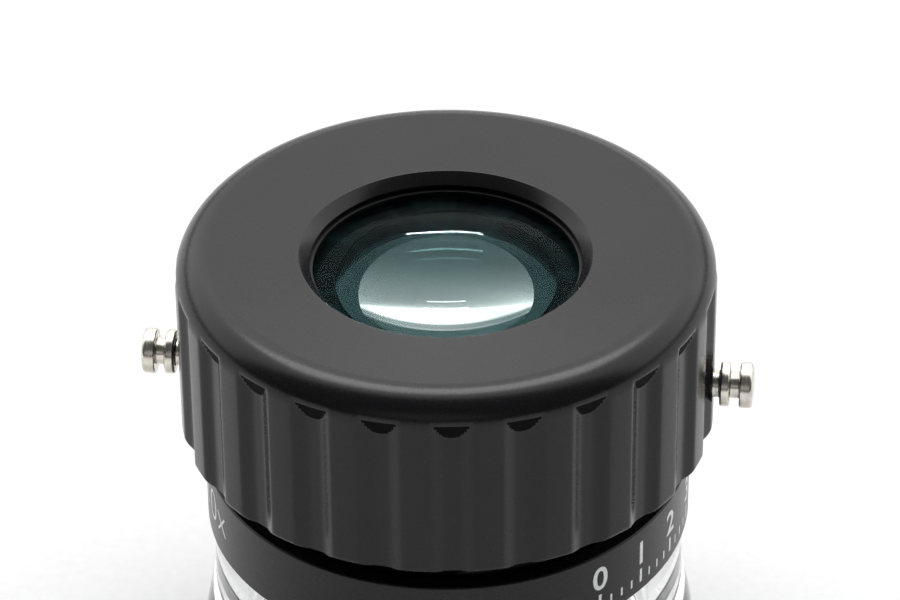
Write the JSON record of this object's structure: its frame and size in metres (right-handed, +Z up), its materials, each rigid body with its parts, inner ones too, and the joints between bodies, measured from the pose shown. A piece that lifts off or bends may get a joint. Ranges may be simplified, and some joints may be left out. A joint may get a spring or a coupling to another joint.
{
  "type": "focusing loupe",
  "caption": "Ten-power focusing loupe: fluted black head on a helicoid, lens cell, collar and clear skirt, with a strap stud on each side.",
  "frame": {"origin": "middle of the clear skirt's foot, on the optical axis, at the plane that the loupe stands on", "axes": "+Z up the optical axis towards the eye; the strap studs lie on the X axis"},
  "size_m": [0.0576, 0.05, 0.047],
  "materials": {
    "head_black": "satin black anodised",
    "collar_black": "fine satin black anodised with white print",
    "cell_black": "matt black anodised",
    "nickel": "polished nickel plate on turned brass",
    "brass": "turned brass",
    "steel": "blackened steel",
    "crown_glass": "polished and coated",
    "flint_glass": "polished",
    "clear_acrylic": "clear polished",
    "washer_plastic": "plain",
    "rubber": "matt"
  },
  "bodies": {
    "stand": {"clear_skirt": "clear_acrylic", "index_collar": "collar_black", "collar_lock_screw": "steel", "body_tube": "collar_black"},
    "lens_cell": {"lens_barrel": "cell_black", "damping_ring": "rubber", "eye_crown_lens": "crown_glass", "eye_flint_lens": "flint_glass", "lens_spacer": "cell_black", "field_flint_lens": "flint_glass", "field_crown_lens": "crown_glass", "field_stop": "cell_black", "lens_retainer": "cell_black", "guide_screw_1": "brass", "guide_screw_2": "brass", "guide_screw_3": "brass"},
    "turning_head": {"grip_ring": "head_black", "flange_retainer": "cell_black", "thrust_washer": "washer_plastic", "strap_stud_right": "nickel", "strap_stud_left": "nickel"}
  },
  "joints": [
    {"name": "focus_travel", "type": "slide", "parent": "stand", "child": "lens_cell", "axis": [0, 0, 1], "range_m": [-0.00201, 0.00301]},
    {"name": "focus_turn", "type": "hinge", "parent": "lens_cell", "child": "turning_head", "pos_m": [0, 0, 0.038], "axis": [0, 0, 1], "range_deg": [-80, 120]}
  ],
  "couplings": [
    {"joint": "focus_travel", "follows": "focus_turn", "m_per_rad": 0.0014324}
  ]
}
